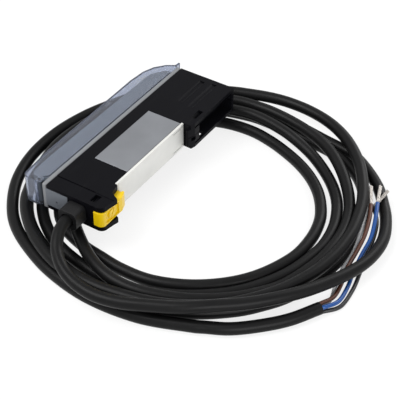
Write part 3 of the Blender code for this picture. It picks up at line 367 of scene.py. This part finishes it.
SCUFF_COLOUR = (0.5, 0.5, 0.5)
BRUSH_SCALE = 4000.0
TARNISH_SCALE = 90.0
TARNISH = 0.86
BRUSH_SPREAD = 0.075
BRUSH_DEPTH = 0.003 * MM


def new_material(name):
    material = bpy.data.materials.new(name)
    material.use_nodes = True
    tree = material.node_tree
    return material, tree, tree.nodes["Principled BSDF"]


def place_group(tree, group, **values):
    """A node of the group, its sockets set by name with _ for each space."""
    node = tree.nodes.new("ShaderNodeGroup")
    node.node_tree = group
    for label, value in values.items():
        socket = node.inputs[label.replace("_", " ")]
        if isinstance(value, tuple):
            socket.default_value = (*value, 1.0)
        else:
            socket.default_value = value
    return node


def bump(tree, shader, height, distance):
    node = tree.nodes.new("ShaderNodeBump")
    node.inputs["Strength"].default_value = 1.0
    node.inputs["Distance"].default_value = distance
    tree.links.new(height, node.inputs["Height"])
    tree.links.new(node.outputs[0], shader.inputs["Normal"])


def moulded(name, colour, roughness, cloudiness=0.15, spread=0.1, grain=GRAIN_SCALE,
            depth=0.004 * MM, scuffed=0.0, specular=0.5):
    """A moulded plastic or rubber: coloured, faintly uneven, with a fine grain."""
    material, tree, shader = new_material(name)
    skin = place_group(tree, MOULD_GRAIN, Colour=colour, Cloudiness=cloudiness,
                       Roughness=roughness, Roughness_Spread=spread, Grain_Scale=grain)
    tone = skin.outputs["Colour"]
    if scuffed:
        lines = place_group(tree, RUBBED_LINES, Amount=scuffed, Scale=70.0)
        tone = mix_colour(tree, lines.outputs["Mask"], tone, SCUFF_COLOUR)
    tree.links.new(tone, shader.inputs["Base Color"])
    tree.links.new(skin.outputs["Roughness"], shader.inputs["Roughness"])
    shader.inputs["Specular IOR Level"].default_value = specular
    bump(tree, shader, skin.outputs["Height"], depth)
    return material


def metal(name, colour, roughness, metallic=1.0, brushed=(1.0, 1.0, 1.0)):
    """A bare or plated metal with fine lines drawn along one direction."""
    material, tree, shader = new_material(name)
    place = tree.nodes.new("ShaderNodeTexCoord")
    stretch = tree.nodes.new("ShaderNodeMapping")
    stretch.inputs["Scale"].default_value = brushed
    tree.links.new(place.outputs["Object"], stretch.inputs["Vector"])
    lines = noise_node(tree, BRUSH_SCALE, 4.0, 0.6)
    tree.links.new(stretch.outputs[0], lines.inputs["Vector"])
    cloud = noise_node(tree, TARNISH_SCALE, 3.0)
    tree.links.new(place.outputs["Object"], cloud.inputs["Vector"])
    dull = tuple(value * TARNISH for value in colour)
    patches = map_range(tree, cloud.outputs["Fac"], 0.3, 0.7, 0.0, 1.0)
    tree.links.new(mix_colour(tree, patches, colour, dull), shader.inputs["Base Color"])
    rough = map_range(tree, lines.outputs["Fac"], 0.3, 0.7,
                      roughness - BRUSH_SPREAD, roughness + BRUSH_SPREAD)
    tree.links.new(rough, shader.inputs["Roughness"])
    shader.inputs["Metallic"].default_value = metallic
    bump(tree, shader, lines.outputs["Fac"], BRUSH_DEPTH)
    return material


def clear_moulding(name, colour, roughness, index=1.49, clearness=1.0):
    """A clear moulding that lets lamp light through to what is under it."""
    material, tree, shader = new_material(name)
    shader.inputs["Base Color"].default_value = (*colour, 1.0)
    shader.inputs["Transmission Weight"].default_value = clearness
    shader.inputs["IOR"].default_value = index
    lines = place_group(tree, RUBBED_LINES, Amount=0.10, Scale=90.0)
    rough = math_node(tree, "ADD", lines.outputs["Mask"], roughness)
    tree.links.new(rough, shader.inputs["Roughness"])
    through = tree.nodes.new("ShaderNodeBsdfTransparent")
    through.inputs["Color"].default_value = (*colour, 1.0)
    path = tree.nodes.new("ShaderNodeLightPath")
    choose = tree.nodes.new("ShaderNodeMixShader")
    tree.links.new(path.outputs["Is Shadow Ray"], choose.inputs["Fac"])
    tree.links.new(shader.outputs[0], choose.inputs[1])
    tree.links.new(through.outputs[0], choose.inputs[2])
    tree.links.new(choose.outputs[0], tree.nodes["Material Output"].inputs["Surface"])
    return material


def make_materials():
    made = {}
    made["shell_black"] = moulded("shell_black", (0.0035, 0.0035, 0.0048), 0.38, cloudiness=0.25,
                                  spread=0.16, depth=0.006 * MM, scuffed=0.006, specular=0.05)
    made["boot_black"] = moulded("boot_black", (0.006, 0.006, 0.0066), 0.48, cloudiness=0.2,
                                 depth=0.008 * MM, specular=0.18)
    made["jacket"] = moulded("cable_jacket", (0.0050, 0.0050, 0.0052), 0.40, cloudiness=0.35,
                             spread=0.2, grain=5000.0, depth=0.006 * MM, scuffed=0.006,
                             specular=0.13)
    made["grey_body"] = moulded("grey_body", (0.118, 0.130, 0.148), 0.42, cloudiness=0.12,
                                specular=0.3)
    # grey_painted_shade is grey_body at about half brightness and duller: painted shade on the
    # top bezel's faces inside the clear cover
    made["grey_painted_shade"] = moulded("grey_painted_shade", (0.060, 0.069, 0.083), 0.55, cloudiness=0.12,
                                  depth=0.0, specular=0.08)
    made["grey_rim"] = moulded("grey_rim", (0.190, 0.196, 0.205), 0.45, cloudiness=0.15,
                               specular=0.3)
    made["yellow"] = moulded("latch_yellow", (0.74, 0.50, 0.002), 0.33, cloudiness=0.10,
                             depth=0.004 * MM)
    made["key_grey"] = moulded("key_grey", (0.50, 0.51, 0.53), 0.42)
    made["chip"] = moulded("chip_black", (0.014, 0.014, 0.014), 0.6)
    made["board"] = moulded("board_green", (0.01, 0.10, 0.045), 0.35, cloudiness=0.3)
    made["pale_seat"] = metal("pale_seat", (0.70, 0.70, 0.675), 0.42, metallic=0.2,
                              brushed=(0.05, 1.0, 1.0))
    made["label_foil"] = metal("label_foil", (0.25, 0.26, 0.28), 0.36, metallic=0.6,
                               brushed=(0.08, 1.0, 1.0))
    made["steel"] = metal("spring_steel", (0.55, 0.55, 0.57), 0.25)
    made["can"] = metal("metal_can", (0.45, 0.46, 0.48), 0.3)
    made["tinned"] = metal("tinned_copper", (0.52, 0.49, 0.46), 0.34, brushed=(1.0, 1.0, 0.3))
    made["window"] = moulded("dark_window", (0.02, 0.006, 0.008), 0.08, cloudiness=0.1,
                             spread=0.03, depth=0.0005 * MM)
    made["lamp"] = clear_moulding("lamp_clear", (0.95, 0.45, 0.25), 0.08)
    made["cover"] = clear_moulding("clear_plastic", (0.90, 0.92, 0.97), 0.03, index=1.34,
                                   clearness=0.985)
    # A darker, bluer, less clear copy of the clear plastic for the cover's walls: a painted dark
    # edge in place of the light bent and reflected at the cover's rims
    made["cover_edge"] = clear_moulding("clear_painted_dark_edge", (0.40, 0.44, 0.54), 0.05, index=1.34,
                                        clearness=0.88)
    made["brown"] = moulded("core_brown", (0.062, 0.020, 0.010), 0.38, cloudiness=0.2)
    made["white"] = moulded("core_white", (0.62, 0.63, 0.64), 0.38, cloudiness=0.1)
    made["blue"] = moulded("core_blue", (0.001, 0.050, 0.215), 0.34, cloudiness=0.15)
    made["black"] = moulded("core_black", (0.012, 0.012, 0.013), 0.38, cloudiness=0.2)
    return made


# Finishes and edges of the CAD nodes

WALL_SLANT = 0.5
WELD = 0.002 * MM


def dress(material, *names):
    """Gives CAD nodes their finish."""
    for name in names:
        node = NODES[name]
        node.data.materials.clear()
        node.data.materials.append(material)
        for face in node.data.polygons:
            face.material_index = 0


def add_finish(node, material):
    """The slot of one more material on a node."""
    node.data.materials.append(material)
    return len(node.data.materials) - 1


def dress_band(material, name, low, high):
    """Gives the faces of a CAD node between two heights above the rail a finish of their own."""
    node = NODES[name]
    corners = [(node.matrix_world @ corner.co).y for corner in node.data.vertices]
    slot = add_finish(node, material)
    for face in node.data.polygons:
        if all(low < corners[index] < high for index in face.vertices):
            face.material_index = slot


def dress_walls(material, name):
    """Gives the faces of a CAD node that stand across its thickness a finish of their own."""
    node = NODES[name]
    slot = add_finish(node, material)
    for face in node.data.polygons:
        if abs(face.normal.z) < WALL_SLANT:
            face.material_index = slot


def soften(width, segments, *names, angle=32.0):
    """Welds CAD nodes' loose triangles and rounds their sharp edges, with live modifiers."""
    for name in names:
        node = NODES[name]
        weld = node.modifiers.new("weld", "WELD")
        weld.merge_threshold = WELD
        bevel = node.modifiers.new("rounded", "BEVEL")
        bevel.width = width
        bevel.segments = segments
        bevel.limit_method = "ANGLE"
        bevel.angle_limit = math.radians(angle)
        bevel.use_clamp_overlap = True


# Cable

def build_cords(made):
    """The cable and its four stripped cores, each one cord."""
    line = flowing([BOOT_EXIT] + LEAD_ROUTE + coil_route() + TAIL_ROUTE, CABLE_STEP)
    cable = tube_along("cable", line, CABLE, CABLE_RINGS, made["jacket"])
    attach(cable, "housing")
    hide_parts("cable_lead", "cable_coil", "cable_tail")
    for colour, points in CORE_ROUTES.items():
        core_line = flowing(points, CORE_STEP)
        core = tube_along(f"wire_{colour}", core_line, CORE, CORE_RINGS, made[colour])
        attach(core, "housing")
        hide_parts(f"core_{colour}")
        tip = bare_end(colour, core_line[-1], Vector(TIP_ENDS[colour]) * MM, made["tinned"])


# Bare ends of the cores

STRAND = 0.19 * MM
STRAND_SIDES = 8
STRAND_ROWS = 12
STRANDS_ROUND = 6
STRAND_SPACING = 1.9 * STRAND
STRAND_STEP = 0.25 * MM
STRAND_TWIST = 200.0
TIP_SUNK = 0.3 * MM


def draw_strand(length):
    """Draws the selected disc out along Z in rows."""
    for _ in range(STRAND_ROWS):
        bpy.ops.mesh.extrude_region_move(
            TRANSFORM_OT_translate={"value": (0.0, 0.0, length / STRAND_ROWS)})


def face_outward():
    bpy.ops.mesh.select_all(action="SELECT")
    bpy.ops.mesh.normals_make_consistent(inside=False)


def settle(name, place, material, sharp=40.0):
    """Leaves edit mode and puts the active piece in its place, with its origin at the world's."""
    obj = bpy.context.object
    if obj.mode == "EDIT":
        bpy.ops.object.mode_set(mode="OBJECT")
    obj.name = name
    obj.data.name = name
    obj.data.transform(place @ obj.matrix_world)
    obj.matrix_world = Matrix.Identity(4)
    obj.data.materials.clear()
    obj.data.materials.append(material)
    bpy.ops.object.select_all(action="DESELECT")
    obj.select_set(True)
    bpy.context.view_layer.objects.active = obj
    bpy.ops.object.shade_smooth_by_angle(angle=math.radians(sharp))
    return obj


def bare_end(colour, start, end, material):
    """A tinned end of seven twisted strands, set a little into its insulation."""
    length = (end - start).length + TIP_SUNK
    bpy.ops.object.select_all(action="DESELECT")
    bpy.ops.mesh.primitive_circle_add(vertices=STRAND_SIDES, radius=STRAND, fill_type="NGON")
    bpy.ops.object.mode_set(mode="EDIT")
    draw_strand(length)
    for index in range(STRANDS_ROUND):
        bpy.ops.mesh.primitive_circle_add(vertices=STRAND_SIDES, radius=STRAND, fill_type="NGON")
        turn = math.tau * index / STRANDS_ROUND
        bpy.ops.transform.translate(
            value=(STRAND_SPACING * math.cos(turn), STRAND_SPACING * math.sin(turn), 0.0))
        draw_strand(length - STRAND_STEP * (index % 3))
    face_outward()
    bpy.ops.object.mode_set(mode="OBJECT")
    twist = bpy.context.object.modifiers.new("twist", "SIMPLE_DEFORM")
    twist.deform_method = "TWIST"
    twist.deform_axis = "Z"
    twist.angle = math.radians(STRAND_TWIST)
    bpy.ops.object.modifier_apply(modifier=twist.name)
    along = (end - start).normalized()
    turned = along.to_track_quat("Z", "Y").to_matrix().to_4x4()
    place = Matrix.Translation(start - along * TIP_SUNK) @ turned
    tip = settle(f"bare_end_{colour}", place, material, sharp=50.0)
    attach(tip, "housing")
    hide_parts(f"tip_{colour}")
    return tip


# Latch spring

SPRING_START = (-24.35, 0.0, 0.0)
SPRING_LENGTH = 5.1 * MM
SPRING_WIRE = 0.17 * MM
SPRING_RADIUS = 0.75 * MM
SPRING_TURNS = 6
SPRING_SIDES = 10
SPRING_STEPS = 20
SPRING_GAP = 0.08


def build_spring(made):
    """The coil spring behind the latch."""
    bpy.ops.object.select_all(action="DESELECT")
    bpy.ops.mesh.primitive_circle_add(vertices=SPRING_SIDES, radius=SPRING_WIRE)
    bpy.ops.object.mode_set(mode="EDIT")
    bpy.ops.transform.rotate(value=math.radians(90), orient_axis="X",
                             center_override=(0.0, 0.0, 0.0))
    bpy.ops.transform.translate(value=(SPRING_RADIUS, 0.0, SPRING_WIRE))
    bpy.ops.object.mode_set(mode="OBJECT")
    wind = bpy.context.object.modifiers.new("wind", "SCREW")
    wind.axis = "Z"
    wind.iterations = SPRING_TURNS
    wind.screw_offset = (SPRING_LENGTH - 2 * SPRING_WIRE) / SPRING_TURNS
    wind.steps = SPRING_STEPS
    wind.render_steps = SPRING_STEPS
    bpy.ops.object.modifier_apply(modifier=wind.name)
    bpy.ops.object.mode_set(mode="EDIT")
    bpy.ops.mesh.select_all(action="SELECT")
    bpy.ops.mesh.fill_holes(sides=0)
    face_outward()
    start = (Vector(SPRING_START) + Vector((SPRING_GAP, 0.0, 0.0))) * MM
    place = Matrix.Translation(start) @ Matrix.Rotation(math.radians(90), 4, "Y")
    spring = settle("coil_spring", place, made["steel"], sharp=50.0)
    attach(spring, "housing")
    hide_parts("latch_spring")
    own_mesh(spring)


# Studio

WHITE = (1.0, 1.0, 1.0, 1.0)
FLOOR_SIZE = 6.0
FLOOR_TONE = (0.92, 0.92, 0.92, 1.0)
FLOOR_GLOW = 0.8
SKY = 0.45

# Lamps: name, place, aim, size and power
LAMPS = [
    ("key_softbox", (-0.35, 0.30, 0.75), (0.0, -0.02, 0.0), (0.5, 0.5), 6.0),
    ("front_softbox", (-0.45, -0.65, 0.35), (0.0, 0.0, 0.0), (0.6, 0.4), 4.5),
    ("side_softbox", (0.70, -0.10, 0.45), (0.0, 0.0, 0.0), (0.4, 0.5), 2.5),
]


def area_light(name, place, target, size, watts):
    data = bpy.data.lights.new(name, "AREA")
    data.shape = "RECTANGLE"
    data.size = size[0]
    data.size_y = size[1]
    data.energy = watts
    lamp = bpy.data.objects.new(name, data)
    bpy.context.scene.collection.objects.link(lamp)
    aim = Vector(target) - Vector(place)
    turned = aim.to_track_quat("-Z", "Y").to_matrix().to_4x4()
    lamp.matrix_world = Matrix.Translation(place) @ turned


def seen_directly(tree):
    """1 for rays from the camera, through the clear cover or off a gloss, and 0 for the rest."""
    path = tree.nodes.new("ShaderNodeLightPath")
    seen = math_node(tree, "MAXIMUM", path.outputs["Is Camera Ray"],
                     path.outputs["Is Transmission Ray"])
    return math_node(tree, "MAXIMUM", seen, path.outputs["Is Glossy Ray"])


def build_floor():
    bpy.ops.object.select_all(action="DESELECT")
    bpy.ops.mesh.primitive_plane_add(size=FLOOR_SIZE, location=(0.0, 0.0, FLOOR))
    floor = bpy.context.object
    floor.name = "floor"
    material, tree, shader = new_material("studio_floor")
    shader.inputs["Base Color"].default_value = FLOOR_TONE
    shader.inputs["Roughness"].default_value = 0.9
    glow = tree.nodes.new("ShaderNodeEmission")
    glow.inputs["Color"].default_value = WHITE
    glow.inputs["Strength"].default_value = 1.0
    choose = tree.nodes.new("ShaderNodeMixShader")
    share = math_node(tree, "MULTIPLY", seen_directly(tree), FLOOR_GLOW)
    tree.links.new(share, choose.inputs["Fac"])
    tree.links.new(shader.outputs[0], choose.inputs[1])
    tree.links.new(glow.outputs[0], choose.inputs[2])
    tree.links.new(choose.outputs[0], tree.nodes["Material Output"].inputs["Surface"])
    floor.data.materials.append(material)


def build_world():
    """White where it is seen and dimmer where it lights."""
    world = bpy.context.scene.world or bpy.data.worlds.new("studio")
    bpy.context.scene.world = world
    world.use_nodes = True
    tree = world.node_tree
    light = tree.nodes["Background"]
    light.inputs["Color"].default_value = WHITE
    light.inputs["Strength"].default_value = SKY
    white = tree.nodes.new("ShaderNodeBackground")
    white.inputs["Strength"].default_value = 1.0
    choose = tree.nodes.new("ShaderNodeMixShader")
    tree.links.new(seen_directly(tree), choose.inputs["Fac"])
    tree.links.new(light.outputs[0], choose.inputs[1])
    tree.links.new(white.outputs[0], choose.inputs[2])
    tree.links.new(choose.outputs[0], tree.nodes["World Output"].inputs["Surface"])


def build_studio():
    build_floor()
    build_world()
    for lamp in LAMPS:
        area_light(*lamp)


# Everything together

RIM_BAND = (17.4 * MM, 19.0 * MM)
# Heights above the rail of the bezel band that is painted darker as shade
PAINTED_SHADE_BAND = (18.0 * MM, 30.0 * MM)
LARGE_EDGE = 0.14 * MM
SMALL_EDGE = 0.10 * MM
EDGE_SEGMENTS = 2

set_camera()
MADE = make_materials()
build_cords(MADE)
build_spring(MADE)
dress(MADE["shell_black"], "housing_front", "housing_back", "fibre_block")
dress(MADE["boot_black"], "cable_boot")
dress(MADE["pale_seat"], "rail_seat")
dress(MADE["label_foil"], "side_label")
dress(MADE["grey_body"], "top_bezel", "upper_port_bush", "lower_port_bush")
dress_band(MADE["grey_rim"], "top_bezel", *RIM_BAND)
# The band of the bezel inside the clear cover gets painted shade, a darker grey than its own
dress_band(MADE["grey_painted_shade"], "top_bezel", *PAINTED_SHADE_BAND)
dress(MADE["cover"], "clear_cover")
# Painted dark edge on the cover's walls, in place of the light bent at its rims
dress_walls(MADE["cover_edge"], "clear_cover")
dress(MADE["yellow"], "rail_latch", "fibre_lock")
dress(MADE["steel"], "clamp_plate")
dress(MADE["window"], "display_window")
dress(MADE["chip"], "display_module", "processor_chip", "output_transistor",
      "receiver_diode")
dress(MADE["board"], "display_board", "main_board")
dress(MADE["key_grey"], "set_key", "up_key", "down_key", "mode_slider", "core_terminal",
      "output_led")
dress(MADE["can"], "set_switch", "up_switch", "down_switch", "mode_switch_body",
      "supply_capacitor")
dress(MADE["lamp"], "light_pipe", "emitter_led")
soften(LARGE_EDGE, EDGE_SEGMENTS, "housing_front", "housing_back", "top_bezel", "rail_latch",
       "fibre_lock", "cable_boot")
soften(SMALL_EDGE, EDGE_SEGMENTS, "set_key", "up_key", "down_key", "mode_slider",
       "display_window", "processor_chip", angle=50.0)
build_studio()
